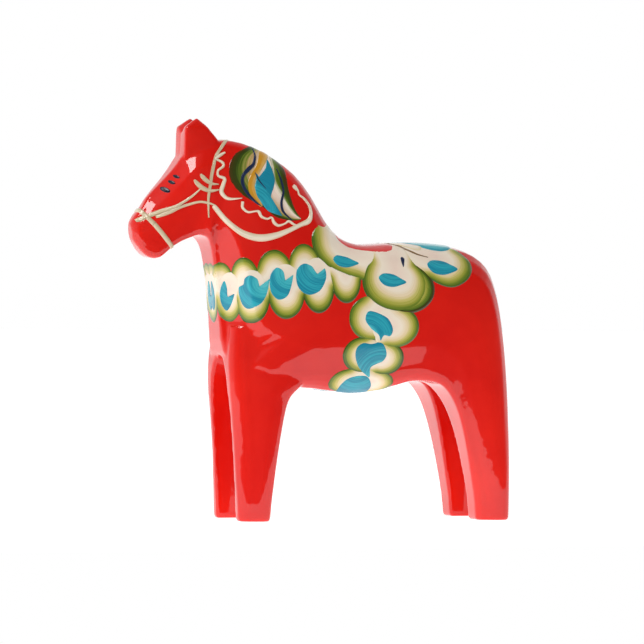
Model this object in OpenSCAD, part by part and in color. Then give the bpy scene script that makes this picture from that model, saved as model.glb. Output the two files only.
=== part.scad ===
// Dala horse: one block of pine, sawn to its side profile, carved round and lacquered red,
// with kurbits strokes brushed on as thin raised films of paint.
// X runs from the nose (-X) to the rump (+X), Y across, Z up. The soles stand on Z = 0.

/* [Horse] */
// Height from the soles to the ear tips, in mm
horse_h = 130; // [70:1:200]
// Thickness across the haunches, on a horse 130 mm high
haunch_w = 37.6; // [32:0.2:42]
// Gap between the two forefeet, on a horse 130 mm high
fore_gap = 18; // [14:0.5:20]
// Gap between the two hind feet, on a horse 130 mm high
hind_gap = 15.4; // [11:0.2:19]

/* [Paint] */
// Thickness of one brushed film, on a horse 130 mm high
film_t = 0.25; // [0.15:0.05:0.4]

/* [Smoothness] */
// Rings between two carving stations
rings_per_station = 2; // [1:1:3]
// Points along each rounded corner of a ring
corner_points = 4; // [3:1:6]

/* [Hidden] */

drawn_h = 128.3;                          // the stations below are drawn for this height
size = horse_h / drawn_h;
spread = haunch_w / 37.6;               // widens or narrows every station alike
reach = 60;                             // longer than the horse is thick
red = [0.84, 0.07, 0.04];
cream = [0.93, 0.86, 0.72];
green = [0.36, 0.47, 0.16];
teal = [0.10, 0.55, 0.66];
navy = [0.10, 0.13, 0.27];
gold = [0.80, 0.60, 0.22];

// Each station is one knife-cut ring: its end on the top line (x, z), its end on the under line
// (x, z), the half-width at each end, the corner rounding at each end, and how far each flank
// stands out of the straight line between the corners, at three places from the top down.
trunk_stations = [
    [-61.9,  94.6, -61.2,  89.4,  1.8,  2.2,  1.2,  1.6, 0.2, 0.3, 0.2],
    [-60.4,  97.2, -58.7,  85.8,  3.0,  3.8,  1.8,  2.4, 0.8, 1.0, 0.7],
    [-58.2,  99.6, -55.8,  83.6,  3.0,  4.4,  1.6,  2.8, 1.2, 1.5, 0.9],
    [-56.8, 102.2, -52.3,  83.8,  2.0,  4.9,  1.1,  2.8, 1.7, 2.3, 1.3],
    [-54.1, 105.4, -49.1,  86.7,  2.3,  5.4,  0.8,  2.6, 1.7, 2.7, 1.4],
    [-50.9, 108.9, -45.8,  88.9,  3.1,  6.0,  0.8,  2.4, 1.9, 2.8, 1.5],
    [-47.8, 112.7, -42.8,  90.2,  4.1,  6.6,  0.9,  2.4, 2.4, 2.7, 1.5],
    [-45.2, 116.4, -40.6,  91.0,  4.7,  7.4,  1.1,  2.6, 2.9, 2.7, 1.4],
    [-41.2, 119.4, -38.8,  90.7,  5.4,  8.4,  1.6,  3.2, 2.4, 2.4, 1.2],
    [-36.0, 121.0, -37.6,  89.8,  6.2,  9.6,  2.4,  4.4, 1.4, 1.6, 1.0],
    [-29.0, 121.2, -36.8,  88.4,  6.8,  8.2,  3.6,  3.6, 1.5, 2.3, 2.2],
    [-22.0, 119.4, -36.1,  86.4,  7.4,  7.4,  4.4,  3.0, 1.9, 3.2, 3.6],
    [-14.6, 115.6, -35.4,  83.0,  8.2,  6.8,  5.2,  2.4, 2.3, 3.9, 4.8],
    [ -8.0, 110.8, -34.8,  79.0,  9.4,  6.4,  6.0,  2.0, 2.6, 4.5, 5.6],
    [ -2.6, 104.0, -34.2,  74.2, 11.0,  6.2,  7.0,  1.8, 2.7, 4.9, 6.1],
    [  1.6,  96.6, -33.6,  68.2, 12.8,  6.2,  8.0,  1.8, 2.9, 5.1, 6.6],
    [  6.4,  90.6, -33.0,  61.6, 14.3,  6.6,  9.0,  2.0, 3.0, 5.2, 6.6],
    [ 12.5,  88.3, -32.0,  54.0, 15.3,  8.4,  9.6,  3.4, 2.8, 4.8, 5.6],
    [ 18.0,  88.2, -27.5,  46.6, 15.9, 15.4, 10.2,  8.6, 1.6, 2.1, 1.6],
    [ 23.5,  88.6, -16.5,  43.3, 16.3, 16.1, 10.8,  8.0, 1.6, 2.1, 1.6],
    [ 29.0,  88.8,  -4.0,  42.4, 16.6, 16.2, 11.2,  8.8, 1.5, 2.0, 1.5],
    [ 34.5,  88.8,   9.0,  41.0, 16.8, 16.2, 11.4,  9.4, 1.4, 1.9, 1.4],
    [ 40.5,  88.4,  20.0,  42.0, 17.1, 16.4, 11.4,  9.2, 1.3, 1.8, 1.3],
    [ 46.5,  87.6,  28.8,  44.6, 17.5, 16.8, 11.2,  7.0, 1.2, 1.6, 1.2],
    [ 51.9,  85.6,  34.6,  44.8, 17.9, 17.2, 11.0,  5.0, 1.1, 1.5, 1.1],
    [ 56.1,  81.9,  38.8,  43.8, 18.3, 17.4, 10.6,  3.6, 1.1, 1.4, 1.1],
    [ 58.5,  76.6,  41.3,  41.6, 18.6, 17.4, 10.2,  3.0, 1.0, 1.3, 1.0],
    [ 60.1,  69.8,  43.1,  38.9, 18.8, 17.2,  9.6,  2.6, 0.9, 1.2, 0.9],
    [ 61.3,  61.6,  44.5,  36.0, 18.8, 17.1,  8.8,  2.4, 0.8, 1.1, 0.8],
    [ 62.2,  52.6,  45.8,  32.4, 18.7, 17.0,  7.8,  2.2, 0.7, 0.9, 0.7],
    [ 62.8,  42.6,  47.1,  27.8, 18.5, 16.9,  6.6,  2.2, 0.6, 0.8, 0.6],
    [ 63.1,  31.6,  48.4,  22.2, 18.3, 16.8,  5.2,  2.6, 0.5, 0.6, 0.5],
    [ 63.2,  19.8,  49.8,  15.2, 18.1, 16.8,  3.8,  3.2, 0.4, 0.5, 0.4],
    [ 63.0,   8.0,  51.2,   7.2, 18.0, 16.8,  2.8,  3.6, 0.3, 0.4, 0.3],
    [ 62.8,   0.9,  51.8,   0.9, 17.8, 16.6,  2.4,  3.6, 0.3, 0.4, 0.3],
    [ 62.3,   0.0,  52.3,   0.0, 17.3, 16.1,  1.9,  3.2, 0.3, 0.4, 0.3]
];
foreleg_stations = [
    [ -2.0,  62.0, -30.5,  62.0, 12.5, 12.0,  5.0,  6.0, 0.7, 0.9, 0.7],
    [ -2.6,  52.0, -31.4,  52.0, 14.4, 13.8,  6.0,  7.0, 0.7, 0.9, 0.7],
    [ -5.2,  45.6, -31.4,  46.6, 15.2, 14.4,  4.0,  7.0, 0.7, 0.8, 0.6],
    [ -8.7,  42.2, -31.2,  43.0, 15.4, 14.6,  3.2,  7.0, 0.6, 0.8, 0.5],
    [-11.2,  39.8, -31.0,  39.8, 15.4, 14.7,  3.0,  7.0, 0.5, 0.7, 0.4],
    [-12.7,  36.0, -30.6,  36.0, 15.3, 14.7,  3.0,  7.0, 0.4, 0.5, 0.3],
    [-14.1,  29.0, -30.0,  29.0, 15.2, 14.7,  2.8,  7.0, 0.4, 0.5, 0.3],
    [-15.4,  21.0, -29.4,  21.0, 15.1, 14.7,  2.6,  6.8, 0.3, 0.4, 0.2],
    [-16.5,  13.0, -29.0,  13.0, 15.0, 14.8,  2.4,  6.2, 0.3, 0.4, 0.2],
    [-17.4,   6.0, -28.6,   6.0, 15.0, 14.9,  2.2,  5.6, 0.2, 0.3, 0.2],
    [-17.9,   0.9, -28.4,   0.9, 14.9, 14.8,  2.0,  5.2, 0.2, 0.3, 0.2],
    [-18.4,   0.0, -27.9,   0.0, 14.4, 14.3,  1.5,  4.6, 0.2, 0.3, 0.2]
];
flank_places = [0.22, 0.46, 0.76];      // where the three places lie between two corners
top_sweep = 90;                         // a top corner is rounded right round
under_sweep = 60;                       // an under corner meets the flat under face at an edge

function catmull(a, b, c, d, t) =
    0.5 * (2 * b + (c - a) * t + (2 * a - 5 * b + 4 * c - d) * t * t
           + (3 * b - a - 3 * c + d) * t * t * t);
function through_points(p, steps) = let (last = len(p) - 1) concat(
    [for (i = [0 : last - 1], j = [0 : steps - 1])
        catmull(p[max(i - 1, 0)], p[i], p[i + 1], p[min(i + 2, last)], j / steps)],
    [p[last]]);
function arc_points(centre, r, start, sweep) =
    [for (k = [0 : corner_points]) let (a = start + sweep * k / corner_points)
        centre + r * [cos(a), sin(a)]];
function flank_points(from, to, out) =
    [for (k = [0 : len(out) - 1]) from + (to - from) * flank_places[k] + [0, out[k]]];

// A ring in its own plane: u runs from the under line to the top line, v across the horse.
function flat_ring(half, w_top, w_under, r_top, r_under, out) = let (
        top = arc_points([half - r_top, w_top - r_top], r_top, 90 - top_sweep, top_sweep),
        under = arc_points([r_under * sin(under_sweep) - half, w_under - r_under], r_under,
                           90, under_sweep),
        right = concat(top, flank_points(top[corner_points], under[0], out), under))
    concat(right, [for (k = [len(right) - 1 : -1 : 0]) [right[k].x, -right[k].y]]);

function ring(s, grow) = let (
        top = [s[0], s[1]], under = [s[2], s[3]],
        half = norm(top - under) / 2, along = (top - under) / (2 * half),
        middle = (top + under) / 2,
        flat = flat_ring(half + grow, s[4] * spread + grow, s[5] * spread + grow,
                         s[6] + grow, s[7] + grow, [s[8], s[9], s[10]]))
    [for (q = flat) [middle.x + q.x * along.x, q.y, middle.y + q.x * along.y]];

// Carves the solid that passes through every ring.
module loft(stations, grow) {
    rings = [for (s = through_points(stations, rings_per_station)) ring(s, grow)];
    n = len(rings[0]);
    last = len(rings) - 1;
    polyhedron(
        points = [for (r = rings, q = r) q],
        faces = concat(
            [[for (k = [n - 1 : -1 : 0]) k]],
            [for (i = [0 : last - 1], k = [0 : n - 1], half = [0, 1])
                let (a = i * n + k, b = i * n + (k + 1) % n)
                half == 0 ? [a, b, b + n] : [a, b + n, a + n]],
            [[for (k = [0 : n - 1]) last * n + k]]),
        convexity = 10);
}

// One ear of the pair: they are cut from one block and meet at the foot of a V notch.
module ear(side, grow) {
    ear_r = 0.7;
    hull()
        for (q = [[-44.6, 0.0, 112.0], [-44.6, 4.6, 112.0], [-36.0, 0.0, 116.0], [-36.0, 5.6, 116.0],
                  [-44.2, 0.4, 123.2], [-37.4, 0.4, 121.8], [-44.3, 4.6, 125.0], [-44.1, 2.8, 125.0],
                  [-40.6, 3.2, 127.6], [-38.0, 2.8, 124.8], [-37.8, 4.6, 124.9],
                  [-34.6, 2.2, 120.8], [-34.6, 5.2, 121.0]])
            translate([q[0], side * q[1], q[2]])
                sphere(r = ear_r + grow, $fn = 8);
}

// The cut between a pair of legs: an arch whose height changes along the horse. Its half-width
// falls from the ground to the top as (1 - t ^ blunt) ^ taper, t being the share of the height.
module leg_gap(cuts, gap, blunt, taper, grow) {
    side = [for (t = [0, 0.3, 0.5, 0.65, 0.78, 0.88, 0.95, 0.985, 1]) [pow(1 - pow(t, blunt), taper), t]];
    outline = concat(side, [for (k = [len(side) - 1 : -1 : 0]) [-side[k].x, side[k].y]]);
    for (i = [0 : len(cuts) - 2])
        hull()
            for (cut = [cuts[i], cuts[i + 1]])
                translate([cut[0], 0, 0])
                    rotate([90, 0, 90])
                        linear_extrude(0.02)
                            scale([gap / 2 - grow, cut[1] - grow])
                                polygon(outline);
}

// The whole horse, grown outwards all over by grow.
module horse(grow = 0) {
    difference() {
        union() {
            loft(trunk_stations, grow);
            loft(foreleg_stations, grow);
            for (side = [-1, 1])
                ear(side, grow);
        }
        leg_gap([[-45, 53.5], [-32, 53], [-20, 50], [-12, 46], [-4, 40]], fore_gap, 6, 0.5, grow);
        leg_gap([[30, 38], [38, 45.5], [46, 49], [56, 51], [70, 52]], hind_gap, 3, 1, grow);
        translate([0, 0, -5])
            cube([200, 100, 10], center = true);
    }
}

// A film of paint: what an outline in the side view (x, z) covers, on both sides of the horse.
module film(layer = 0) {
    intersection() {
        rotate([90, 0, 0])
            linear_extrude(reach, center = true)
                children();
        difference() {
            horse((layer + 1) * film_t);
            horse(layer * film_t);
        }
    }
}

// One brush stroke through points of (x, z, half-width).
module stroke(points, steps = 3, sides = 8) {
    path = through_points(points, steps);
    for (i = [0 : len(path) - 2])
        hull()
            for (q = [path[i], path[i + 1]])
                translate([q[0], q[1]])
                    circle(r = q[2], $fn = sides);
}

module dab(x, z, rx, rz, turn = 0, sides = 20) {
    translate([x, z])
        rotate(turn)
            scale([rx, rz])
                circle(r = 1, $fn = sides);
}

// A leaf-shaped drop with one pointed end.
module drop(x, z, length, width, turn) {
    translate([x, z])
        rotate(turn)
            hull() {
                dab(-length * 0.2, 0, length * 0.3, width / 2, 0, 12);
                translate([length * 0.48, width * 0.1])
                    circle(r = 0.2, $fn = 6);
            }
}

module carved_body() { color(red) horse(); }

module noseband() {
    color(cream) film()
        stroke([[-61.6, 101.6, 0.8], [-57.4, 96.9, 0.85], [-54.3, 93.3, 0.85], [-49.6, 87.6, 0.85],
                [-46.6, 83.6, 0.85]]);
}

module cheek_straps() {
    color(cream) film() {
        stroke([[-62.6, 94.8, 1.0], [-57.2, 97.0, 0.8], [-52.6, 98.8, 0.75], [-46.8, 101.4, 0.6],
                [-40.8, 106.0, 0.4]]);
        stroke([[-57.0, 95.6, 0.7], [-50.6, 98.2, 0.7], [-45.8, 100.4, 0.55], [-41.0, 101.6, 0.45],
                [-36.6, 100.8, 0.45]]);
    }
}

module crown_strap() {
    color(cream) film()
        stroke([[-31.4, 123.4, 0.95], [-35.6, 115.7, 0.85], [-37.7, 108.4, 0.75],
                [-38.5, 101.3, 0.7], [-38.3, 97.0, 0.5]]);
}

module throat_dashes() {
    color(cream) film() {
        stroke([[-40.7, 110.0, 0.55], [-38.4, 107.9, 0.7], [-35.4, 107.2, 0.4]]);
        stroke([[-42.7, 108.2, 0.55], [-39.4, 105.5, 0.75], [-35.0, 105.2, 0.4]]);
    }
}

module eye_dashes() {
    color(navy) film() {
        drop(-51.5, 106.4, 3.8, 1.7, -25);
        drop(-49.5, 108.8, 2.5, 1.5, -28);
        drop(-48.1, 110.6, 2.3, 1.4, -28);
    }
}

module mane_leaf() {
    color(green) film()
        polygon(through_points([[-23.0, 123.0], [-28.0, 118.4], [-31.6, 114.0], [-32.2, 109.4],
            [-30.2, 104.4], [-26.0, 101.2], [-21.4, 99.4], [-16.6, 96.6], [-8.9, 96.8],
            [-11.0, 101.4], [-12.4, 107.0], [-12.4, 113.0], [-11.0, 119.0]], 2));
}

// The flame and the flicks are brushed last, so the tongues of gold stop at their edges.
module flame_outline() {
    polygon(through_points([[-16.2, 113.6], [-19.2, 109.6], [-22.4, 105.8], [-21.4, 101.8],
        [-18.2, 99.0], [-14.8, 97.6], [-16.4, 101.4], [-14.8, 105.4], [-14.9, 109.4],
        [-16.2, 113.6]], 2));
}

module flick_outline() {
    stroke([[-20.6, 117.6, 0.3], [-21.2, 112.4, 0.7], [-25.6, 108.4, 0.8], [-25.4, 104.0, 0.6],
            [-22.4, 101.2, 0.25]]);
    stroke([[-13.6, 112.4, 0.3], [-12.8, 108.0, 0.45], [-13.2, 101.6, 0.5], [-11.0, 98.2, 0.25]]);
}

module mane_tongues() {
    color(gold) film(1)
        difference() {
            union() {
                stroke([[-18.0, 118.4, 0.4], [-18.4, 114.2, 1.1], [-20.6, 110.0, 1.2],
                        [-23.4, 105.6, 1.4], [-22.4, 101.6, 1.0], [-19.4, 98.8, 0.4]]);
                stroke([[-14.6, 116.4, 0.4], [-13.9, 112.4, 0.8], [-14.0, 108.6, 0.4]]);
                dab(-28.6, 109.6, 1.6, 4.0, -14);
            }
            offset(0.1) {
                flame_outline();
                flick_outline();
            }
        }
}

module mane_flame() { color(teal) film(1) flame_outline(); }

module mane_flicks() { color(navy) film(1) difference() { flick_outline(); flame_outline(); } }

module neck_scroll() {
    color(cream) film() {
        stroke([[-33.6, 117.4, 0.6], [-36.2, 115.0, 0.7], [-34.2, 112.9, 0.45], [-35.8, 110.0, 0.5],
                [-34.2, 108.6, 0.7], [-35.2, 105.0, 0.8], [-33.2, 102.4, 0.7],
                [-30.0, 102.3, 0.4]], 3, 6);
        stroke([[-28.4, 101.2, 0.6], [-27.8, 98.6, 0.7], [-26.0, 97.6, 0.5], [-23.8, 98.8, 0.5],
                [-22.8, 97.0, 0.6], [-20.6, 96.0, 0.5], [-19.1, 96.4, 0.55], [-18.2, 94.4, 0.7],
                [-16.2, 93.8, 0.5], [-13.6, 95.2, 0.45], [-11.2, 93.8, 0.5]], 3, 6);
    }
}

module neck_crescent() {
    color(cream) film()
        stroke([[-37.0, 100.2, 0.8], [-33.4, 95.4, 0.95], [-28.2, 91.6, 1.1], [-23.0, 90.5, 1.1],
                [-17.0, 91.8, 0.8], [-11.0, 94.4, 0.5], [-6.6, 96.4, 0.7], [-5.4, 99.4, 0.8],
                [-6.2, 102.4, 0.5], [-8.8, 105.0, 0.4], [-10.6, 107.6, 0.8]]);
}

module collar_garland() {
    color(cream) film() {
        for (lobe = [[-35.0, 76.2, 4.2, 6.6], [-27.8, 77.6, 5.0, 6.6], [-17.2, 80.4, 5.6, 6.6],
                     [-6.6, 82.2, 5.2, 6.6], [-35.0, 70.2, 4.2, 6.6], [-25.2, 69.8, 5.6, 6.8],
                     [-13.8, 71.2, 5.6, 6.8], [-2.4, 73.0, 5.4, 6.8], [6.6, 76.4, 5.4, 6.8]])
            dab(lobe[0], lobe[1], lobe[2], lobe[3], 0, 16);
        stroke([[-34, 73.6, 4.6], [-22, 75.2, 4.8], [-8, 77.4, 5.0], [4, 79.2, 4.0]], 1, 12);
    }
}

module collar_commas() {
    color(teal) film(1)
        for (comma = [[-35.4, 71.8], [-25.8, 72.8], [-16.2, 76.0], [-6.4, 77.2]])
            translate(comma)
                stroke([[-4.4, -1.8, 0.3], [-1.2, 2.0, 3.0], [0.4, -2.2, 3.2], [5.6, 3.4, 0.4]],
                       2, 10);
}

module saddle_petals() {
    color(cream) film() {
        dab(5.4, 85.0, 10.0, 7.4, -12);
        dab(22.0, 77.2, 12.0, 9.8, 0, 24);
        dab(39.4, 82.0, 10.6, 7.2, -14);
        polygon([[4, 84], [22, 80], [40, 84], [42, 92], [4, 92]]);
    }
}

module saddle_drops() {
    color(teal) film(1) {
        drop(5.4, 83.6, 8.8, 4.2, -20);
        drop(21.0, 77.4, 10.0, 4.6, -6);
        drop(38.0, 82.0, 10.0, 4.4, -10);
    }
}

module saddle_tear() {
    color(navy) film(1)
        drop(25.6, 82.8, 4.4, 1.8, 90);
}

module saddle_crown() {
    color(red) film(1)
        stroke([[3.6, 90.4, 0.6], [8.0, 88.4, 1.4], [14.0, 87.2, 1.6], [19.0, 87.6, 1.2],
                [23.0, 90.0, 0.5]], 2);
}

module saddle_gold() {
    color(gold) film(1)
        polygon([[24.2, 90.5], [25.0, 87.6], [28.0, 85.6], [31.8, 85.0], [27.4, 87.6], [25.8, 90.5]]);
}

module saddle_leaf() {
    color(teal) film(1)
        polygon(through_points([[27.2, 89.6], [30.4, 87.2], [36.0, 86.2], [41.0, 86.8],
            [44.6, 87.6], [40.0, 90.5], [30.0, 91.0], [27.2, 89.6]], 2));
}

module girth_garland() {
    color(green) film() {
        for (lobe = [[12.0, 63.6, 5.2], [24.2, 61.2, 6.4], [10.4, 53.6, 5.2], [21.2, 52.8, 5.0],
                     [6.2, 44.4, 5.4], [18.2, 44.6, 5.6]])
            dab(lobe[0], lobe[1], lobe[2], lobe[2]);
        stroke([[18.4, 66.0, 6.0], [18.2, 61.0, 7.4], [15.8, 53.0, 7.4], [12.2, 40.0, 7.4]], 1, 12);
    }
}

module girth_commas() {
    color(teal) film(1)
        stroke([[13.6, 65.4, 1.2], [16.4, 63.0, 3.6], [19.0, 59.8, 2.2], [15.4, 56.4, 2.8],
                [14.4, 52.6, 4.4], [15.2, 47.6, 1.2], [10.6, 43.6, 3.6], [9.6, 39.0, 4.2]], 2, 10);
}

scale(size) {
    carved_body();
    noseband();
    cheek_straps();
    crown_strap();
    throat_dashes();
    eye_dashes();
    mane_leaf();
    mane_tongues();
    mane_flame();
    mane_flicks();
    neck_scroll();
    neck_crescent();
    collar_garland();
    collar_commas();
    saddle_petals();
    saddle_drops();
    saddle_tear();
    saddle_crown();
    saddle_gold();
    saddle_leaf();
    girth_garland();
    girth_commas();
}
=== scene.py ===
"""Looks of the lacquered dala horse: soft carved body, brushed kurbits paint, pale studio."""
import math
import random

import bpy
import numpy as np
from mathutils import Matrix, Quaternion, Vector, noise
from mathutils.bvhtree import BVHTree


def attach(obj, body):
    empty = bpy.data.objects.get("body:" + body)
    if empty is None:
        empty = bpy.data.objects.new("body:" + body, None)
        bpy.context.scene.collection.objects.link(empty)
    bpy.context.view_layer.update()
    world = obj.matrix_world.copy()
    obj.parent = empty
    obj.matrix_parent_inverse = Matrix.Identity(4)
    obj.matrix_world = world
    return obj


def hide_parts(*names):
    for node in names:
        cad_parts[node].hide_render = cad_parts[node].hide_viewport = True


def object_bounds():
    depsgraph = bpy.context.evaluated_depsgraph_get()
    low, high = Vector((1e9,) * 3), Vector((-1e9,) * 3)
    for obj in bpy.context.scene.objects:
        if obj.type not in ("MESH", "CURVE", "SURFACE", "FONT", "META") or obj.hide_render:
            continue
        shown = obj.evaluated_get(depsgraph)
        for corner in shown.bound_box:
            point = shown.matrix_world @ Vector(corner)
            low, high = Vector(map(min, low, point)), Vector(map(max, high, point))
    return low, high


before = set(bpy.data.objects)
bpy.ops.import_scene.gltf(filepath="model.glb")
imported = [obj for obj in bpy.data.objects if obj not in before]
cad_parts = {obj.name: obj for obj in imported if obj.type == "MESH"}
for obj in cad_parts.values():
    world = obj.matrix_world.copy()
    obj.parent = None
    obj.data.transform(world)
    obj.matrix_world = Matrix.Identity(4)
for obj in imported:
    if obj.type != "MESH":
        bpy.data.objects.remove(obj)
cad_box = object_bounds()

# The horse is drawn 128.3 units high from sole to ear tip; every place below is in those units.
DRAWN_HEIGHT = 128.3
UNIT = (cad_box[1].z - cad_box[0].z) / DRAWN_HEIGHT         # metres in one drawn unit
dice = random.Random(7)


# ---------------------------------------------------------------- colours and nodes

def rgb(red, green, blue):
    """A colour as seen on a screen, 0 to 255, turned to the linear values that shaders take."""
    return tuple((channel / 255) ** 2.2 for channel in (red, green, blue))


CREAM = rgb(252, 238, 216)
BLUSH = rgb(248, 222, 204)
TAN = rgb(205, 170, 110)
PALE_TAN = rgb(238, 216, 172)
STRAW = rgb(208, 196, 112)
LIME = rgb(166, 166, 66)
OLIVE = rgb(110, 132, 44)
FOREST = rgb(60, 90, 28)
MOSS = rgb(70, 62, 22)
TEAL = rgb(54, 174, 190)
DEEP_TEAL = rgb(32, 138, 164)
NAVY = rgb(26, 34, 66)
GOLD = rgb(206, 150, 44)
STRAP = rgb(216, 198, 162)


def new_material(name):
    """A fresh node material, with the parts of it that every recipe needs."""
    material = bpy.data.materials.new(name)
    material.use_nodes = True
    tree = material.node_tree
    return material, tree.nodes, tree.links, tree.nodes["Principled BSDF"]


def add_node(nodes, kind, **values):
    """A shader node, with each named value set on its input socket or as its property."""
    made = nodes.new("ShaderNode" + kind)
    for key, value in values.items():
        name = key.replace("_", " ")
        if name in made.inputs:
            made.inputs[name].default_value = value
        else:
            setattr(made, key, value)
    return made


def add_ramp(nodes, stops):
    """A colour ramp from a list of (position, colour)."""
    made = nodes.new("ShaderNodeValToRGB")
    elements = made.color_ramp.elements
    while len(elements) < len(stops):
        elements.new(0.5)
    for element, (position, colour) in zip(elements, stops):
        element.position = position
        element.color = (*colour, 1)
    return made


def scaled(nodes, links, source, factor):
    """An output's value times a fixed number."""
    made = add_node(nodes, "Math", operation="MULTIPLY")
    made.inputs[1].default_value = factor
    links.new(source, made.inputs[0])
    return made.outputs[0]


def summed(nodes, links, first, second):
    """Two outputs' values added up."""
    made = add_node(nodes, "Math", operation="ADD")
    links.new(first, made.inputs[0])
    links.new(second, made.inputs[1])
    return made.outputs[0]


def set_gloss(shader, roughness, coat_roughness):
    """A clear coat of varnish over a duller colour layer."""
    shader.inputs["Roughness"].default_value = roughness
    shader.inputs["Specular IOR Level"].default_value = 0.1
    shader.inputs["Coat Weight"].default_value = 1.0
    shader.inputs["Coat Roughness"].default_value = coat_roughness
    shader.inputs["Coat IOR"].default_value = 1.5


# ---------------------------------------------------------------- carved body

BODY_VOXEL = 0.5 * UNIT             # fine enough to keep the knife cuts
BODY_SMOOTHING = 5                  # rounds of smoothing, each half way to the neighbours' mean


def soft_body():
    """The CAD body with its facets melted together, as thick lacquer melts the knife cuts."""
    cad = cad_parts["carved_body"]
    made = bpy.data.objects.new("lacquered_body", cad.data.copy())
    bpy.context.collection.objects.link(made)
    remesh = made.modifiers.new("voxels", "REMESH")
    remesh.mode = "VOXEL"
    remesh.voxel_size = BODY_VOXEL
    smooth = made.modifiers.new("melt", "SMOOTH")
    smooth.factor = 0.5
    smooth.iterations = BODY_SMOOTHING
    depsgraph = bpy.context.evaluated_depsgraph_get()
    mesh = bpy.data.meshes.new_from_object(made.evaluated_get(depsgraph))
    made.modifiers.clear()
    made.data = mesh
    mesh.materials.clear()
    mesh.shade_smooth()
    return made


def red_lacquer():
    """Signal red dip lacquer, slightly cloudy and slightly rippled."""
    material, nodes, links, shader = new_material("red_lacquer")
    place = add_node(nodes, "TexCoord")
    cloud = add_node(nodes, "TexNoise", Scale=30.0, Detail=4.0, Roughness=0.6)
    links.new(place.outputs["Object"], cloud.inputs["Vector"])
    tint = add_ramp(nodes, [(0.3, rgb(212, 22, 14)), (0.7, rgb(232, 34, 20))])
    links.new(cloud.outputs["Fac"], tint.inputs["Fac"])
    links.new(tint.outputs["Color"], shader.inputs["Base Color"])
    ripple = add_node(nodes, "TexNoise", Scale=160.0, Detail=2.0)
    links.new(place.outputs["Object"], ripple.inputs["Vector"])
    bump = add_node(nodes, "Bump", Strength=0.06, Distance=0.0006)
    links.new(ripple.outputs["Fac"], bump.inputs["Height"])
    links.new(bump.outputs["Normal"], shader.inputs["Coat Normal"])
    links.new(bump.outputs["Normal"], shader.inputs["Normal"])
    set_gloss(shader, roughness=0.35, coat_roughness=0.04)
    return material


# ---------------------------------------------------------------- laying paint on the wood

class Skin:
    """The carved surface in drawn units, with a way to lay a flat pattern on it.

    A pattern is drawn in the side view, x and z. Past an edge of the horse it bends round that
    edge, by arc length, as far as the middle plane and on down the other side.
    """
    FAR = 60                        # from here a ray starts outside the horse
    # edge name: (outward direction, corner radius, half the thickness there)
    EDGES = {
        "back": (Vector((0, 0, 1)), 9.0, 16.0),
        "crest": (Vector((0, 0, 1)), 4.5, 8.0),
        "belly": (Vector((0, 0, -1)), 8.0, 16.5),
        "chest": (Vector((-1, 0, 0)), 11.0, 14.0),
    }

    def __init__(self, carved):
        vertices = [v.co / UNIT for v in carved.data.vertices]
        self.tree = BVHTree.FromPolygons(vertices, [tuple(p.vertices) for p in carved.data.polygons])

    def flank(self, x, z, side):
        """Where the side view's point lies on one flank."""
        outward = Vector((0, side, 0))
        place, normal, _, _ = self.tree.ray_cast(Vector((x, 0, z)) + outward * self.FAR, -outward)
        if place is None:
            place, normal, _, _ = self.tree.find_nearest(Vector((x, 0, z)))
        return place, normal

    def leave(self, inside, outward):
        """Where a ray from inside the wood comes out."""
        place, normal, _, _ = self.tree.ray_cast(inside, outward)
        if place is None or normal.dot(outward) < 0:
            place, normal, _, _ = self.tree.find_nearest(inside)
        return place, normal

    def rim(self, point, outward, half):
        """How far the wood reaches in this direction, seen from a point of the middle plane.

        Only an edge near the point counts, so that the nose doesn't find the chest.
        """
        for ray, reach in ((outward, 2 * half), (-outward, 4 * half)):
            place, normal, _, _ = self.tree.ray_cast(point, ray, reach)
            if place is not None and normal.dot(outward) > 0:
                return place.dot(outward)
        return math.inf

    def lay(self, x, z, side, edges=()):
        """Where the pattern's point lies on the wood, bent round the first edge it is past."""
        point = Vector((x, 0, z))
        for outward, radius, half in (self.EDGES[name] for name in edges):
            past = point.dot(outward) - (self.rim(point, outward, half) - radius)
            if past > 0:
                return self.bend(point - outward * past, outward, radius, half, past, side)
        return self.flank(x, z, side)

    def bend(self, base, outward, radius, half, past, side):
        """The point so far past the start of a rounded edge, on this side or over the middle."""
        middle = radius * math.pi / 2 + half - radius
        if past > middle:
            past = 2 * middle - past
            side = -side
        turn = min(past / radius, math.pi / 2)
        flat = max(past - radius * math.pi / 2, 0)
        across = Vector((0, side, 0))
        centre = base + across * (half - radius - flat)
        return self.leave(centre, across * math.cos(turn) + outward * math.sin(turn))


def spline(points, steps, closed=False):
    """A smooth curve through 2-D points, as an array."""
    p = np.array(points, float)
    count = len(p)
    out = []
    for i in range(count if closed else count - 1):
        if closed:
            a, b, c, d = (p[(i + k) % count] for k in (-1, 0, 1, 2))
        else:
            a, b, c, d = p[max(i - 1, 0)], p[i], p[i + 1], p[min(i + 2, count - 1)]
        for j in range(steps):
            t = j / steps
            out.append(0.5 * (2 * b + (c - a) * t + (2 * a - 5 * b + 4 * c - d) * t * t
                              + (3 * b - a - 3 * c + d) * t ** 3))
    if not closed:
        out.append(p[-1])
    return np.array(out)


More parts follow.
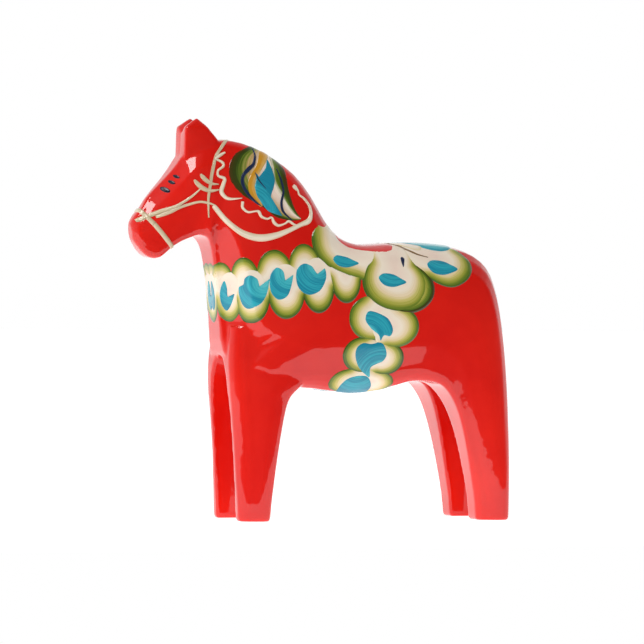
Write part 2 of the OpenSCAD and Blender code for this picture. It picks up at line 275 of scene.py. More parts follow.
class Paint:
    """One piece of brushed paint: closed films lying on the skin, each a grid of rows."""
    SUNK = -0.22                    # how far the underside reaches into the wood
    TUCK = 0.04                     # how far the rim of a film dips below the surface
    RIM_START = 0.9                 # where it starts to dip, from 0 inside to 1 at the rim
    BRISTLE_HEIGHT = 0.004
    BRISTLES_ACROSS = 14
    BRISTLES_ALONG = 2.5
    TONE_STEP = 50                  # how far apart in the noise two films' bristles are
    HUB = 0.05                      # a blob's innermost ring, as a share of its reach
    SWING_REACH = 9.0               # how far the brush reaches when it swings round a pivot

    def __init__(self, name, nodes, slot, material):
        self.name, self.nodes, self.slot, self.material = name, nodes, slot, material
        self.vertices, self.faces, self.walls = [], [], []
        self.across, self.along, self.tone = [], [], []

    def grid(self, rows, side, edges, height, ring=False):
        """rows: lists of (x, z, across, along, edge); edge runs from 0 inside to 1 at the rim."""
        places = [[skin.lay(x, z, side, edges) for x, z, _, _, _ in row] for row in rows]
        brushing = [[spot[2:] for spot in row] for row in rows]
        self.film(places, brushing, side, height, ring)

    def film(self, places, brushing, side, height, ring=False):
        """A closed film over rows of (place, normal), with (across, along, edge) for each."""
        tone = dice.random()
        start = len(self.vertices)
        for row, strokes in zip(places, brushing):
            for (place, normal), (across, along, edge) in zip(row, strokes):
                rise = self.rise(across, along, edge, tone, height)
                self.vertices += [place + normal * rise, place + normal * self.SUNK]
                self.across += [across, across]
                self.along += [along, along]
                self.tone += [tone, tone]
        self.close(start, len(places), len(places[0]), side, ring)

    def rise(self, across, along, edge, tone, height):
        """How high the film stands here: rounded at the rim, which dips into the lacquer."""
        low, high = height
        spot = (across * self.BRISTLES_ACROSS, along * self.BRISTLES_ALONG, tone * self.TONE_STEP)
        bristles = self.BRISTLE_HEIGHT * noise.noise(Vector(spot))
        settle = max(edge - self.RIM_START, 0) / (1 - self.RIM_START)
        return low + (high - low) * (1 - edge ** 4) + bristles - (low + self.TUCK) * settle

    def close(self, start, deep, wide, side, ring):
        """Faces over, under and round a film; a ring has its rows meet and its hub filled."""
        def at(i, j, under=0):
            return start + ((i % deep) * wide + j) * 2 + under

        def face(*corners):
            self.faces.append(corners[::-1] if side > 0 else corners)

        def wall(*corners):
            self.walls.append(len(self.faces))
            face(*corners)

        last = wide - 1
        end = deep - 1
        for i in range(deep if ring else end):
            for j in range(last):
                face(at(i, j), at(i, j + 1), at(i + 1, j + 1), at(i + 1, j))
                face(at(i, j, 1), at(i + 1, j, 1), at(i + 1, j + 1, 1), at(i, j + 1, 1))
            wall(at(i, last), at(i, last, 1), at(i + 1, last, 1), at(i + 1, last))
            if not ring:
                wall(at(i, 0, 1), at(i, 0), at(i + 1, 0), at(i + 1, 0, 1))
        if ring:
            face(*[at(i, 0) for i in range(deep)])
            face(*[at(i, 0, 1) for i in reversed(range(deep))])
        else:
            for j in range(last):
                wall(at(0, j, 1), at(0, j + 1, 1), at(0, j + 1), at(0, j))
                wall(at(end, j), at(end, j + 1), at(end, j + 1, 1), at(end, j, 1))

    def hoop(self, centre, down, half, height=(0.08, 0.3), steps=64, columns=7):
        """A brush line of one half-width all the way round a limb, in the plane through down."""
        centre, down = Vector(centre), Vector(down)
        limb = Vector((0, 1, 0)).cross(down)
        lines = [2 * j / (columns - 1) - 1 for j in range(columns)]
        places, brushing = [], []
        for i in range(steps + 1):
            turn = 2 * math.pi * i / steps
            out = Vector((0, -math.cos(turn), 0)) + down * math.sin(turn)
            places.append([skin.leave(centre + limb * half * u, out) for u in lines])
            brushing.append([((u + 1) / 2, i / steps, abs(u)) for u in lines])
        self.film(places, brushing, -1, height)

    def stroke(self, points, side, edges=(), height=(0.08, 0.3), steps=8, columns=7):
        """A brush line through (x, z, half-width)."""
        path = spline(points, steps)
        gaps = np.gradient(path[:, :2], axis=0)
        gaps /= np.maximum(np.linalg.norm(gaps, axis=1), 1e-6)[:, None]
        rows = []
        for i, (x, z, half) in enumerate(path):
            along = i / (len(path) - 1)
            row = []
            for j in range(columns):
                u = 2 * j / (columns - 1) - 1
                row.append((x - gaps[i][1] * u * half, z + gaps[i][0] * u * half,
                            (u + 1) / 2, along, abs(u)))
            rows.append(row)
        self.grid(rows, side, edges, height)

    def sheet(self, left, right, side, edges=(), height=(0.05, 0.08), rows=40, columns=26):
        """A broad stroke between two edge lines drawn from its root to its tip."""
        a, b = (resample(spline(line, 8), rows) for line in (left, right))
        grid = []
        for i in range(rows):
            row = []
            for j in range(columns):
                u = j / (columns - 1)
                x, z = a[i] * (1 - u) + b[i] * u
                row.append((x, z, u, i / (rows - 1), abs(2 * u - 1)))
            grid.append(row)
        self.grid(grid, side, edges, height)

    def blob(self, outline, side, centre=None, edges=(), height=(0.08, 0.3), rim=None,
             pivot=None, steps=5, columns=12):
        """A filled shape fanned out from its centre; rim(angle) says how far its colour runs.

        With a pivot the brush has swung round that point instead of following the outline.
        """
        edge_line = spline(outline, steps, closed=True)
        middle = np.mean(edge_line, axis=0) if centre is None else np.array(centre, float)
        rows = []
        for i, point in enumerate(edge_line):
            angle = math.atan2(*(point - middle)[::-1])
            reach = 1.0 if rim is None else rim(angle)
            row = []
            for j in range(columns):
                u = self.HUB + (1 - self.HUB) * j / (columns - 1)
                x, z = middle + (point - middle) * u
                if pivot is None:
                    row.append((x, z, u * reach, i / len(edge_line), u))
                    continue
                swing = math.atan2(z - pivot[1], x - pivot[0]) / (2 * math.pi)
                swept = math.hypot(x - pivot[0], z - pivot[1]) / self.SWING_REACH
                row.append((x, z, swept, swing % 1, u))
            rows.append(row)
        self.grid(rows, side, edges, height, ring=True)

    def build(self):
        """The finished piece, riding on the body in place of its CAD nodes."""
        mesh = bpy.data.meshes.new(self.name)
        mesh.from_pydata([v * UNIT for v in self.vertices], [], self.faces)
        for key in ("across", "along", "tone"):
            layer = mesh.attributes.new(key, "FLOAT", "POINT")
            layer.data.foreach_set("value", getattr(self, key))
        mesh.materials.append(self.material)
        mesh.shade_smooth()
        for wall in self.walls:
            mesh.polygons[wall].use_smooth = False
        piece = bpy.data.objects.new(self.name, mesh)
        bpy.context.collection.objects.link(piece)
        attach(piece, "root")
        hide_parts(*self.nodes)
        return piece


def resample(line, count):
    """The same line with evenly spaced points."""
    steps = np.linalg.norm(np.diff(line, axis=0), axis=1)
    walked = np.concatenate([[0], np.cumsum(steps)])
    places = np.linspace(0, walked[-1], count)
    return np.stack([np.interp(places, walked, line[:, k]) for k in (0, 1)], axis=1)


def ellipse(x, z, rx, rz, turn=0, count=14):
    """Points round an ellipse, turned by degrees."""
    c, s = math.cos(math.radians(turn)), math.sin(math.radians(turn))
    out = []
    for k in range(count):
        a = 2 * math.pi * k / count
        u, v = rx * math.cos(a), rz * math.sin(a)
        out.append((x + u * c - v * s, z + u * s + v * c))
    return out


FADE_ANGLE = 60                     # over this many degrees a rim's full colour turns quiet


def facing(degrees, spread=75, quiet=0.55):
    """A rim rule: full colour towards this angle, fading to a quiet share away from it."""
    aim = math.radians(degrees)

    def rule(angle):
        off = abs(math.atan2(math.sin(angle - aim), math.cos(angle - aim)))
        fade = min(max((off - math.radians(spread)) / math.radians(FADE_ANGLE), 0), 1)
        return 1 - (1 - quiet) * fade * fade * (3 - 2 * fade)
    return rule


def evenly(share):
    """A rim rule: the same share of the colours in every direction."""
    return lambda angle: share


# ---------------------------------------------------------------- paint materials

STREAKS_ALONG = 3.0                 # how often a streak changes along its stroke
TONE_SPREAD = 40.0                  # how far apart in the noise two films' streaks are


def brushed(name, stops, streak=0.10, streak_count=26.0, bump=0.25, tone_shift=0.10):
    """Gloss paint whose colour runs across the stroke, with bristle streaks along it."""
    material, nodes, links, shader = new_material(name)
    across, along, tone = (add_node(nodes, "Attribute", attribute_name=key).outputs["Fac"]
                           for key in ("across", "along", "tone"))
    grain = add_node(nodes, "CombineXYZ")
    links.new(scaled(nodes, links, across, streak_count), grain.inputs[0])
    links.new(scaled(nodes, links, along, STREAKS_ALONG), grain.inputs[1])
    links.new(scaled(nodes, links, tone, TONE_SPREAD), grain.inputs[2])
    bristle = add_node(nodes, "TexNoise", Scale=1.0, Detail=3.0, Roughness=0.55)
    links.new(grain.outputs[0], bristle.inputs["Vector"])
    wobble = add_node(nodes, "MapRange", From_Min=0.25, From_Max=0.75, To_Min=-streak, To_Max=streak)
    links.new(bristle.outputs["Fac"], wobble.inputs["Value"])
    mood = add_node(nodes, "MapRange", To_Min=-tone_shift, To_Max=tone_shift)
    links.new(tone, mood.inputs["Value"])
    streaked = summed(nodes, links, across, wobble.outputs["Result"])
    shifted = summed(nodes, links, streaked, mood.outputs["Result"])
    tint = add_ramp(nodes, stops)
    links.new(shifted, tint.inputs["Fac"])
    links.new(tint.outputs["Color"], shader.inputs["Base Color"])
    relief = add_node(nodes, "Bump", Strength=bump, Distance=0.0004)
    links.new(bristle.outputs["Fac"], relief.inputs["Height"])
    links.new(relief.outputs["Normal"], shader.inputs["Normal"])
    links.new(relief.outputs["Normal"], shader.inputs["Coat Normal"])
    set_gloss(shader, roughness=0.4, coat_roughness=0.06)
    return material


# ---------------------------------------------------------------- build the horse

body = soft_body()
body.data.materials.append(red_lacquer())
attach(body, "root")
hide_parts("carved_body")
skin = Skin(body)

garland_paint = brushed("garland_paint", [
    (0.0, BLUSH), (0.42, CREAM), (0.60, PALE_TAN), (0.70, STRAW), (0.79, LIME), (0.87, OLIVE),
    (0.95, FOREST), (1.0, MOSS)], streak=0.05, streak_count=80.0, tone_shift=0.03, bump=0.12)
petal_paint = brushed("petal_paint", [
    (0.0, BLUSH), (0.48, CREAM), (0.62, PALE_TAN), (0.71, STRAW), (0.80, LIME), (0.89, OLIVE),
    (0.97, FOREST), (1.0, MOSS)], streak=0.05, streak_count=90.0, tone_shift=0.02, bump=0.12)
leaf_paint = brushed("leaf_paint", [
    (0.0, rgb(96, 44, 20)), (0.05, MOSS), (0.14, rgb(52, 70, 24)), (0.25, OLIVE), (0.36, TAN),
    (0.62, BLUSH), (0.75, CREAM), (0.80, OLIVE), (0.86, FOREST), (0.95, MOSS),
    (1.0, rgb(92, 44, 20))], streak=0.06, tone_shift=0.0)
teal_paint = brushed("teal_paint", [
    (0.0, rgb(96, 200, 206)), (0.38, rgb(66, 184, 196)), (0.62, DEEP_TEAL), (0.78, TEAL),
    (1.0, DEEP_TEAL)], streak=0.22, streak_count=20.0, bump=0.3, tone_shift=0.05)
navy_paint = brushed("navy_paint", [(0.0, NAVY), (1.0, rgb(36, 52, 84))], streak=0.3)
gold_paint = brushed("gold_paint", [
    (0.0, GOLD), (0.45, rgb(214, 150, 44)), (0.8, rgb(226, 180, 100)), (1.0, TAN)],
    streak=0.15, streak_count=12.0)
brown_paint = brushed("brown_line", [(0.0, rgb(118, 84, 44)), (1.0, rgb(158, 120, 64))], streak=0.2)
eye_paint = brushed("eye_navy", [(0.0, rgb(8, 10, 28)), (1.0, rgb(16, 22, 48))], streak=0.2, bump=0.1)
strap_paint = brushed("bridle_cream", [
    (0.0, rgb(196, 172, 136)), (0.4, STRAP), (0.7, rgb(224, 208, 176)), (1.0, rgb(200, 178, 140))],
    streak=0.3, streak_count=6.0)
scroll_paint = brushed("scroll_cream", [
    (0.0, rgb(226, 196, 158)), (0.4, CREAM), (0.7, rgb(240, 226, 200)), (1.0, rgb(226, 200, 162))],
    streak=0.3, streak_count=6.0)
crown_paint = brushed("crown_red", [(0.0, rgb(216, 30, 36)), (1.0, rgb(228, 62, 60))], streak=0.3)

SIDES = (-1, 1)                     # the flank the camera sees, and the other


def finish(*pieces):
    for piece in pieces:
        piece.build()


def bridle():
    """Noseband, cheek straps, crown strap with its two dashes, and the dashes of the eye."""
    noseband = Paint("noseband_stroke", ["noseband"], "bridle_cream", strap_paint)
    cheeks = Paint("cheek_strokes", ["cheek_straps"], "bridle_cream", strap_paint)
    crown = Paint("crown_stroke", ["crown_strap"], "bridle_cream", strap_paint)
    dashes = Paint("throat_strokes", ["throat_dashes"], "bridle_cream", strap_paint)
    eyes = Paint("eye_strokes", ["eye_dashes"], "navy_paint", eye_paint)
    noseband.hoop((-55.2, 0, 94.3), (0.66, 0, -0.75), 0.8, height=(0.14, 0.36))
    for side in SIDES:
        cheeks.stroke([(-60.6, 95.4, 0.5), (-59.4, 95.8, 0.75), (-57.2, 96.8, 0.7),
                       (-52.6, 98.6, 0.7), (-48.2, 100.3, 0.5), (-43.8, 103.2, 0.4),
                       (-40.8, 106.0, 0.2)], side)
        cheeks.stroke([(-54.6, 96.6, 0.5), (-50.6, 98.2, 0.65), (-46.9, 99.9, 0.5),
                       (-41.5, 101.5, 0.4), (-38.4, 101.2, 0.4), (-36.6, 100.6, 0.25)], side)
        crown.stroke([(-29.0, 127.2, 0.55), (-31.2, 123.0, 0.6), (-33.4, 119.6, 0.6),
                      (-35.6, 115.7, 0.55), (-37.0, 111.4, 0.6), (-37.7, 108.0, 0.55),
                      (-38.3, 104.4, 0.5), (-38.5, 101.3, 0.4), (-38.3, 96.6, 0.2)], side, ("crest",))
        dashes.stroke([(-41.0, 110.4, 0.3), (-40.4, 109.6, 0.7), (-39.2, 108.4, 0.75),
                       (-37.4, 107.4, 0.5), (-35.2, 107.2, 0.15)], side, height=(0.16, 0.38))
        dashes.stroke([(-43.0, 108.6, 0.3), (-42.3, 107.6, 0.7), (-40.6, 106.1, 0.8),
                       (-38.0, 105.1, 0.55), (-35.0, 105.5, 0.2)], side, height=(0.16, 0.38))
        for x, z, long in ((-51.3, 105.3, 1.5), (-49.3, 107.7, 1.05), (-47.9, 109.5, 0.95)):
            eyes.blob(ellipse(x, z, long, 0.55 * long, -26), side, columns=6, height=(0.1, 0.2))
    finish(noseband, cheeks, crown, dashes, eyes)


def mane():
    """The leaf panel over the crest, with gold, teal and navy brushed on it."""
    leaf = Paint("mane_leaf_strokes", ["mane_leaf"], "leaf_green", leaf_paint)
    tongues = Paint("mane_tongue_strokes", ["mane_tongues"], "gold_paint", gold_paint)
    flame = Paint("mane_flame_stroke", ["mane_flame"], "teal_paint", teal_paint)
    flicks = Paint("mane_flick_strokes", ["mane_flicks"], "navy_paint", navy_paint)
    for side in SIDES:
        leaf.sheet([(-21.0, 126.2), (-24.1, 121.0), (-29.0, 117.3), (-31.7, 113.0), (-31.4, 108.4),
                    (-28.3, 104.3), (-24.1, 101.7), (-20.4, 99.6), (-16.7, 96.9), (-11.8, 95.9),
                    (-8.4, 96.2)],
                   [(-13.4, 121.4), (-13.2, 116.6), (-11.7, 112.4), (-11.4, 106.9), (-10.6, 102.3),
                    (-9.4, 98.8), (-8.0, 96.7)], side, ("crest",))
        tongues.stroke([(-16.4, 122.4, 1.2), (-18.6, 118.6, 2.0), (-20.0, 115.0, 1.7),
                        (-21.4, 112.4, 1.3), (-23.6, 109.4, 1.3), (-24.3, 106.4, 1.4),
                        (-23.2, 103.2, 1.3), (-21.2, 100.4, 0.5)], side, ("crest",),
                       height=(0.12, 0.2))
        flame.blob([(-18.0, 115.8), (-18.9, 113.0), (-20.4, 111.1), (-21.6, 110.0), (-22.6, 111.2),
                    (-22.7, 108.8), (-23.4, 106.4), (-22.9, 103.4), (-21.0, 100.8), (-18.6, 98.4),
                    (-14.3, 97.0), (-17.0, 98.8), (-17.9, 100.9), (-17.8, 103.6), (-16.6, 106.4),
                    (-15.9, 109.2), (-16.7, 112.8)], side, centre=(-19.6, 106.0),
                   height=(0.22, 0.3), pivot=(-25.0, 99.0))
        flicks.stroke([(-22.7, 119.8, 0.15), (-22.3, 116.6, 0.4), (-23.0, 113.8, 0.6),
                       (-24.9, 112.1, 0.75), (-26.8, 110.1, 0.6), (-27.2, 107.6, 0.65),
                       (-25.9, 104.6, 0.6), (-23.5, 102.0, 0.45), (-21.4, 100.4, 0.1)], side,
                      ("crest",), height=(0.24, 0.34))
        flicks.stroke([(-15.3, 112.4, 0.1), (-14.0, 109.0, 0.35), (-13.5, 105.2, 0.4),
                       (-14.5, 101.5, 0.5), (-14.0, 98.6, 0.45), (-11.1, 96.0, 0.1)], side,
                      height=(0.24, 0.34))
        flicks.stroke([(-22.8, 111.1, 0.1), (-21.6, 108.5, 0.28), (-19.5, 105.9, 0.1)], side,
                      height=(0.32, 0.38))
    finish(leaf, tongues, flame, flicks)


def neck():
    """The thin scalloped line round the mane panel, and the broad crescent under it."""
    scroll = Paint("neck_scroll_strokes", ["neck_scroll"], "scroll_cream", scroll_paint)
    crescent = Paint("neck_crescent_stroke", ["neck_crescent"], "scroll_cream", scroll_paint)
    for side in SIDES:
        scroll.stroke([(-32.3, 117.4, 0.35), (-34.2, 116.4, 0.55), (-35.9, 115.2, 0.4)], side,
                      height=(0.16, 0.36))
        scroll.stroke([(-35.8, 115.3, 0.3), (-33.5, 114.2, 0.5), (-33.3, 113.0, 0.45),
                       (-35.1, 111.6, 0.4), (-35.1, 109.9, 0.45), (-33.1, 109.0, 0.6),
                       (-33.7, 107.0, 0.7), (-34.3, 105.0, 0.75), (-33.2, 103.3, 0.65),
                       (-31.4, 102.6, 0.45), (-27.7, 102.9, 0.15)], side)
        scroll.stroke([(-27.5, 101.8, 0.55), (-27.6, 99.9, 0.5), (-25.9, 98.5, 0.4),
                       (-23.4, 98.8, 0.3), (-22.3, 98.6, 0.55), (-21.5, 97.1, 0.5),
                       (-19.7, 96.4, 0.35), (-18.1, 96.8, 0.35), (-17.4, 95.3, 0.6),
                       (-16.0, 94.3, 0.45), (-13.8, 94.9, 0.3), (-12.3, 95.7, 0.45),
                       (-10.5, 94.6, 0.4), (-8.6, 94.2, 0.2)], side, steps=7)
        crescent.stroke([(-37.0, 100.5, 0.55), (-36.2, 99.6, 0.85), (-33.0, 95.8, 0.85),
                         (-29.3, 92.6, 1.0), (-25.7, 90.9, 1.15), (-21.7, 90.3, 1.2),
                         (-17.1, 91.1, 1.05), (-12.5, 92.8, 0.8), (-8.4, 94.6, 0.75),
                         (-5.6, 95.8, 0.9), (-4.5, 97.8, 0.65), (-4.7, 100.5, 0.5),
                         (-6.4, 102.9, 0.4), (-8.1, 104.2, 0.3), (-8.4, 105.4, 0.35),
                         (-9.2, 106.5, 0.75), (-9.9, 107.2, 0.55)], side)
    finish(scroll, crescent)


def collar():
    """Two rows of lobes round the chest, nose end first, and a chain of teal commas on them."""
    garland = Paint("collar_lobes", ["collar_garland"], "garland_paint", garland_paint)
    commas = Paint("collar_comma_strokes", ["collar_commas"], "teal_paint", teal_paint)
    edges = ("chest",)
    comma_height = (0.2, 0.29)
    lobe_height = 0.01              # so much thicker in its middle, and so much above the last
    for side in SIDES:
        lift = 0.03
        for x, z, rx, rz in ((-46.4, 75.1, 5.2, 7.5), (-37.0, 75.4, 5.4, 7.4), (-28.0, 76.8, 5.4, 7.7),
                             (-17.8, 79.4, 6.0, 7.6), (-7.8, 81.1, 5.6, 7.8), (2.4, 80.6, 5.6, 7.6)):
            garland.blob(ellipse(x, z, rx, rz), side, centre=(x, z - 2), edges=edges,
                         height=(lift, lift + lobe_height), rim=facing(90, 50, 0.45))
            lift += lobe_height
        for x, z, rx, rz in ((-42.4, 71.0, 5.0, 8.2), (-33.6, 71.4, 5.4, 8.2), (-25.4, 71.6, 5.9, 8.9),
                             (-14.4, 73.4, 6.2, 9.1), (-3.9, 75.4, 5.6, 9.2), (5.4, 78.4, 5.4, 8.9)):
            garland.blob(ellipse(x, z, rx, rz), side, centre=(x, z + 2), edges=edges,
                         height=(lift, lift + lobe_height), rim=facing(-90, 50, 0.42))
            lift += lobe_height
        hook = [(-0.4, 5.0), (-1.6, 3.4), (-2.0, 0.2), (-1.2, -3.4), (0.6, -5.0), (2.6, -2.8),
                (4.0, 0.6), (2.6, -0.2), (1.0, -0.2), (0.6, 2.8)]
        for x in (-44.6, -35.2):
            commas.blob([(x + u, 71.8 + v) for u, v in hook], side, centre=(x - 0.4, 71.0),
                        edges=edges, height=comma_height, pivot=(x + 3, 77))
        commas.blob([(-25.8, 78.7), (-27.6, 77.6), (-28.1, 75.6), (-29.9, 74.5), (-29.6, 71.4),
                     (-28.2, 68.6), (-25.9, 67.4), (-22.4, 69.2), (-20.4, 72.4), (-19.4, 77.4),
                     (-20.9, 75.4), (-22.6, 74.8), (-23.4, 77.4)], side, centre=(-25.6, 73.0),
                    edges=edges, height=comma_height, pivot=(-21.6, 76.2))
        commas.blob([(-17.0, 81.2), (-19.0, 79.6), (-19.9, 76.2), (-19.3, 72.6), (-17.0, 70.4),
                     (-14.2, 71.4), (-12.7, 74.2), (-11.6, 78.8), (-12.9, 77.4), (-14.4, 77.0),
                     (-15.0, 79.9)], side, centre=(-16.4, 75.6), edges=edges, height=comma_height,
                    pivot=(-13.2, 79.0))
        commas.blob([(-8.1, 82.5), (-10.3, 81.2), (-11.3, 78.6), (-10.9, 75.2), (-9.3, 73.0),
                     (-6.7, 72.0), (-3.4, 73.2), (-1.4, 75.9), (-0.5, 78.6), (-0.9, 81.0),
                     (-2.0, 79.8), (-3.5, 79.2), (-4.4, 80.1), (-5.6, 81.8)], side,
                    centre=(-6.6, 77.0), edges=edges, height=comma_height, pivot=(-3.4, 81.4))
    finish(garland, commas)


def saddle():
    """Petals hanging from the back, their teal drops, and the marks over the spine."""
    petals = Paint("saddle_petal_strokes", ["saddle_petals"], "garland_paint", petal_paint)
    drops = Paint("saddle_drop_strokes", ["saddle_drops"], "teal_paint", teal_paint)
    tear = Paint("saddle_tear_strokes", ["saddle_tear"], "navy_paint", navy_paint)
    crown = Paint("saddle_crown_stroke", ["saddle_crown"], "crown_red", crown_paint)
    gold = Paint("saddle_gold_strokes", ["saddle_gold"], "gold_paint", brown_paint)
    leaf = Paint("saddle_leaf_stroke", ["saddle_leaf"], "teal_paint", teal_paint)
    edges = ("back",)
    front_petal = [(-0.4, 97.0), (-4.4, 92.6), (-5.2, 88.8), (-3.7, 84.4), (-0.3, 81.0), (4.8, 78.4),
                   (10.4, 77.0), (16.0, 78.0), (18.0, 86.0), (16.0, 95.0), (10.0, 101.5), (3.0, 101.0)]
    hind_petal = [(31.0, 100.5), (26.0, 88.0), (30.4, 80.6), (36.0, 76.4), (41.4, 74.8), (46.0, 76.4),
                  (48.9, 79.6), (49.2, 83.0), (47.2, 87.4), (44.6, 92.0), (43.0, 98.0), (39.0, 101.5)]
    middle_petal = [(15.4, 86.0), (12.2, 81.4), (10.9, 77.6), (11.3, 73.6), (13.6, 70.2),
                    (17.6, 67.8), (22.6, 66.6), (27.4, 67.0), (31.0, 69.0), (33.2, 72.6),
                    (33.6, 76.6), (31.8, 80.4), (28.8, 83.6), (27.0, 92.0), (26.0, 101.5),
                    (17.0, 101.5)]
    straw_patch = [(24.8, 101.0), (25.6, 94.0), (28.0, 90.0), (32.0, 87.6), (34.0, 90.0),
                   (33.0, 95.0), (32.6, 101.0)]
    drop = [(-4.4, 0.6), (-2.6, 2.0), (0.6, 1.7), (3.0, 0.5), (4.9, -0.7), (3.2, -1.6), (0.2, -2.3),
            (-2.8, -1.6)]
    # past the spine these two run on down the far side, still measured along the wood
    red_crescent = [(4.8, 91.6), (8.4, 88.0), (14.0, 86.4), (19.4, 85.6), (23.0, 86.6), (24.6, 91.0),
                    (24.8, 100.9), (24.6, 110.8), (23.0, 115.2), (19.4, 116.2), (14.0, 115.4),
                    (8.4, 113.8), (4.8, 110.2), (3.2, 100.9)]
    croup_leaf = [(28.0, 96.0), (31.6, 91.0), (36.0, 88.0), (41.0, 87.4), (44.6, 90.4),
                  (46.4, 100.9), (44.6, 111.4), (41.0, 114.4), (36.0, 113.8), (31.6, 110.8),
                  (28.0, 105.8), (27.4, 100.9)]
    for side in SIDES:
        petals.blob(front_petal, side, centre=(8.0, 88.0), edges=edges,
                    height=(0.17, 0.19), rim=facing(225, 50), steps=8)
        petals.blob(hind_petal, side, centre=(37.0, 85.0), edges=edges,
                    height=(0.17, 0.19), rim=facing(-45, 62), steps=8)
        petals.blob(ellipse(26.2, 74.6, 9.6, 8.2), side, centre=(24.0, 76.0), edges=edges,
                    height=(0.205, 0.22), rim=evenly(1.07), steps=8)
        petals.blob(middle_petal, side, centre=(22.5, 80.0), edges=edges,
                    height=(0.235, 0.255), rim=facing(-90, 92), steps=8)
        for x, z, size in ((5.8, 83.2, 0.98), (21.0, 77.3, 1.1), (38.4, 81.5, 1.18)):
            drops.blob([(x + size * u, z + size * v) for u, v in drop], side, edges=edges,
                       height=(0.28, 0.36), pivot=(x + 1, z + 7))
        tear.blob([(25.3, 85.0), (26.1, 84.2), (25.8, 82.8), (25.3, 80.9), (24.7, 82.6),
                   (24.6, 84.3)], side, edges=edges, height=(0.31, 0.37), columns=6)
        petals.blob(straw_patch, side, centre=(29.0, 94.0), edges=edges,
                    height=(0.29, 0.3), rim=evenly(0.68))
        gold.stroke([(24.0, 98.0, 0.3), (24.8, 93.0, 0.5), (27.4, 88.8, 0.5), (30.4, 86.2, 0.35),
                     (34.4, 84.8, 0.1)], side, edges, height=(0.32, 0.38))
    crown.blob(red_crescent, SIDES[0], edges=edges, height=(0.3, 0.36))
    # the croup leaf is real teal paint, but kept to the pale end of the teal ramp: its paleness is a
    # painted reflection of the white overhead on the top of the back
    leaf.blob(croup_leaf, SIDES[0], edges=edges, height=(0.38, 0.45), rim=evenly(0.42))
    finish(petals, drops, tear, crown, gold, leaf)


def girth():
    """Lobes climbing from under the belly to the saddle, with three teal commas."""
    garland = Paint("girth_lobes", ["girth_garland"], "garland_paint", garland_paint)
    commas = Paint("girth_comma_strokes", ["girth_commas"], "teal_paint", teal_paint)
    edges = ("belly",)
    comma_height = (0.16, 0.25)
    lobe_height = 0.01              # so much thicker in its middle than at its rim
    lobe_step = 0.012               # each lobe lies this much above the last
    core_shift = 2.5                # a lobe's pale core lies this much towards the chain's middle
    for side in SIDES:
        lift = 0.04
        for x, z, rx, rz, aim in ((12.0, 34.0, 9.0, 6.0, 180), (20.0, 34.0, 8.0, 6.0, 0),
                                  (8.6, 43.8, 8.2, 5.2, 200), (15.8, 43.8, 7.6, 5.0, -20),
                                  (11.3, 53.2, 7.0, 6.0, 180), (19.0, 52.2, 6.8, 5.6, -20),
                                  (13.8, 65.0, 7.8, 7.4, 200), (21.8, 62.4, 8.6, 7.0, -20)):
            inward = core_shift if aim > 90 else -core_shift
            garland.blob(ellipse(x, z, rx, rz), side, centre=(x + inward, z), edges=edges,
                         height=(lift, lift + lobe_height), rim=facing(aim, 60))
            lift += lobe_step
        commas.blob([(12.4, 67.4), (15.2, 67.2), (18.9, 65.6), (20.6, 63.8), (21.6, 61.2),
                     (20.7, 59.0), (18.4, 59.2), (17.2, 57.4), (16.4, 59.4), (13.6, 61.6),
                     (11.4, 64.6)], side, centre=(16.4, 63.4), edges=edges, height=comma_height,
                    pivot=(12.0, 58.0))
        commas.blob([(11.2, 57.3), (14.0, 57.0), (17.4, 57.5), (19.0, 56.2), (19.9, 53.4),
                     (18.8, 51.2), (16.6, 50.2), (14.4, 48.8), (14.3, 45.6), (12.4, 46.8),
                     (9.9, 49.4), (8.6, 53.0), (9.0, 55.8)], side, centre=(13.6, 53.2),
                    edges=edges, height=comma_height, pivot=(17.6, 46.6))
        commas.blob([(13.4, 46.6), (15.6, 43.6), (15.4, 40.4), (13.6, 36.4), (9.0, 34.4),
                     (5.4, 36.6), (4.2, 40.6), (5.4, 44.4), (8.6, 46.4)], side,
                    edges=edges, height=comma_height, pivot=(10.0, 50.0))
    finish(garland, commas)


bridle()
mane()
neck()
collar()
saddle()
girth()


# ---------------------------------------------------------------- studio

def pale_floor(front, far, glow):
    """A white table that glows a little; its near edge is a hand's width in front of the horse."""
    material, nodes, links, shader = new_material("pale_floor")
    shader.inputs["Base Color"].default_value = (0.92, 0.92, 0.92, 1)
    shader.inputs["Roughness"].default_value = 0.8
    shader.inputs["Specular IOR Level"].default_value = 0.1
    shader.inputs["Emission Color"].default_value = (1, 1, 1, 1)
    shader.inputs["Emission Strength"].default_value = glow
    mesh = bpy.data.meshes.new("floor")
    mesh.from_pydata([(-far, -front, 0), (far, -front, 0), (far, far, 0), (-far, far, 0)], [],
                     [(0, 1, 2, 3)])
    mesh.materials.append(material)
    floor = bpy.data.objects.new("floor", mesh)
    bpy.context.collection.objects.link(floor)


def softbox(name, place, aim, width, height, watts, mirrored=True):
    """A rectangular lamp; one that is not mirrored lights the paint without shining in it."""
    light = bpy.data.lights.new(name, "AREA")
    light.shape = "RECTANGLE"
    light.size = width
    light.size_y = height
    light.energy = watts
    lamp = bpy.data.objects.new(name, light)
    lamp.location = place
    lamp.visible_glossy = mirrored
    lamp.rotation_euler = (Vector(aim) - Vector(place)).to_track_quat("-Z", "Y").to_euler()
    bpy.context.collection.objects.link(lamp)


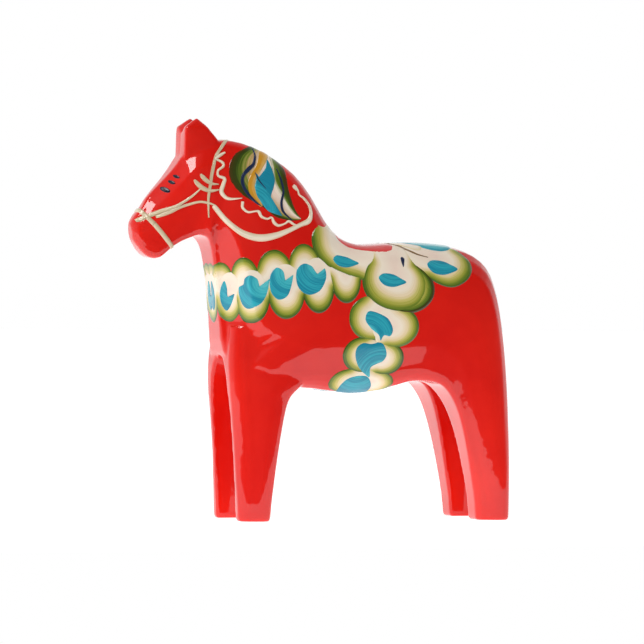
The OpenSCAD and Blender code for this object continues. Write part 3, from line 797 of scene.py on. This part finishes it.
def pale_world(horizon, room, overhead):
    """A white studio: dimmer overhead, and darker towards the room it opens to."""
    world = bpy.data.worlds.new("pale_studio")
    bpy.context.scene.world = world
    world.use_nodes = True
    nodes, links = world.node_tree.nodes, world.node_tree.links
    direction = add_node(nodes, "TexCoord")
    split = add_node(nodes, "SeparateXYZ")
    links.new(direction.outputs["Generated"], split.inputs[0])
    side = add_node(nodes, "MapRange", interpolation_type="SMOOTHSTEP", From_Min=-0.7,
                    From_Max=0.2, To_Min=room, To_Max=horizon)
    links.new(split.outputs["Y"], side.inputs["Value"])
    top = add_node(nodes, "MapRange", interpolation_type="SMOOTHSTEP", From_Min=0.2,
                   From_Max=0.75, To_Min=1.0, To_Max=overhead)
    links.new(split.outputs["Z"], top.inputs["Value"])
    total = add_node(nodes, "Math", operation="MULTIPLY")
    links.new(side.outputs["Result"], total.inputs[0])
    links.new(top.outputs["Result"], total.inputs[1])
    background = nodes["Background"]
    background.inputs["Color"].default_value = (1.0, 1.0, 1.0, 1)
    links.new(total.outputs[0], background.inputs["Strength"])


def camera(azimuth, elevation, roll, lens, aim, width_seen):
    """A long-lens camera; roll in degrees tips the right side of the picture down."""
    data = bpy.data.cameras.new("camera")
    data.lens = lens
    data.sensor_width = 36
    distance = width_seen * lens / data.sensor_width
    a, e = math.radians(azimuth), math.radians(elevation)
    back = Vector((math.sin(a) * math.cos(e), -math.cos(a) * math.cos(e), math.sin(e)))
    upright = (-back).to_track_quat("-Z", "Y")
    eye = bpy.data.objects.new("camera", data)
    eye.location = Vector(aim) + back * distance
    eye.rotation_euler = (upright @ Quaternion((0, 0, 1), math.radians(roll))).to_euler()
    data.clip_start = 0.01
    data.clip_end = 20
    bpy.context.collection.objects.link(eye)
    bpy.context.scene.camera = eye


pale_floor(front=0.155, far=3.0, glow=0.75)
pale_world(horizon=1.0, room=0.1, overhead=0.45)
softbox("brow light", place=(-0.38, -0.29, 0.66), aim=(-0.044, -0.007, 0.115),
        width=0.26, height=0.26, watts=2.6)
softbox("front fill", place=(-0.2, -0.85, 0.3), aim=(0, 0, 0.07),
        width=0.7, height=0.7, watts=1.9, mirrored=False)
camera(azimuth=-20, elevation=1, roll=0.6, lens=300, aim=(3.7 * UNIT, 0, 63.4 * UNIT),
       width_seen=207.4 * UNIT)
bpy.context.scene.view_settings.view_transform = "Standard"
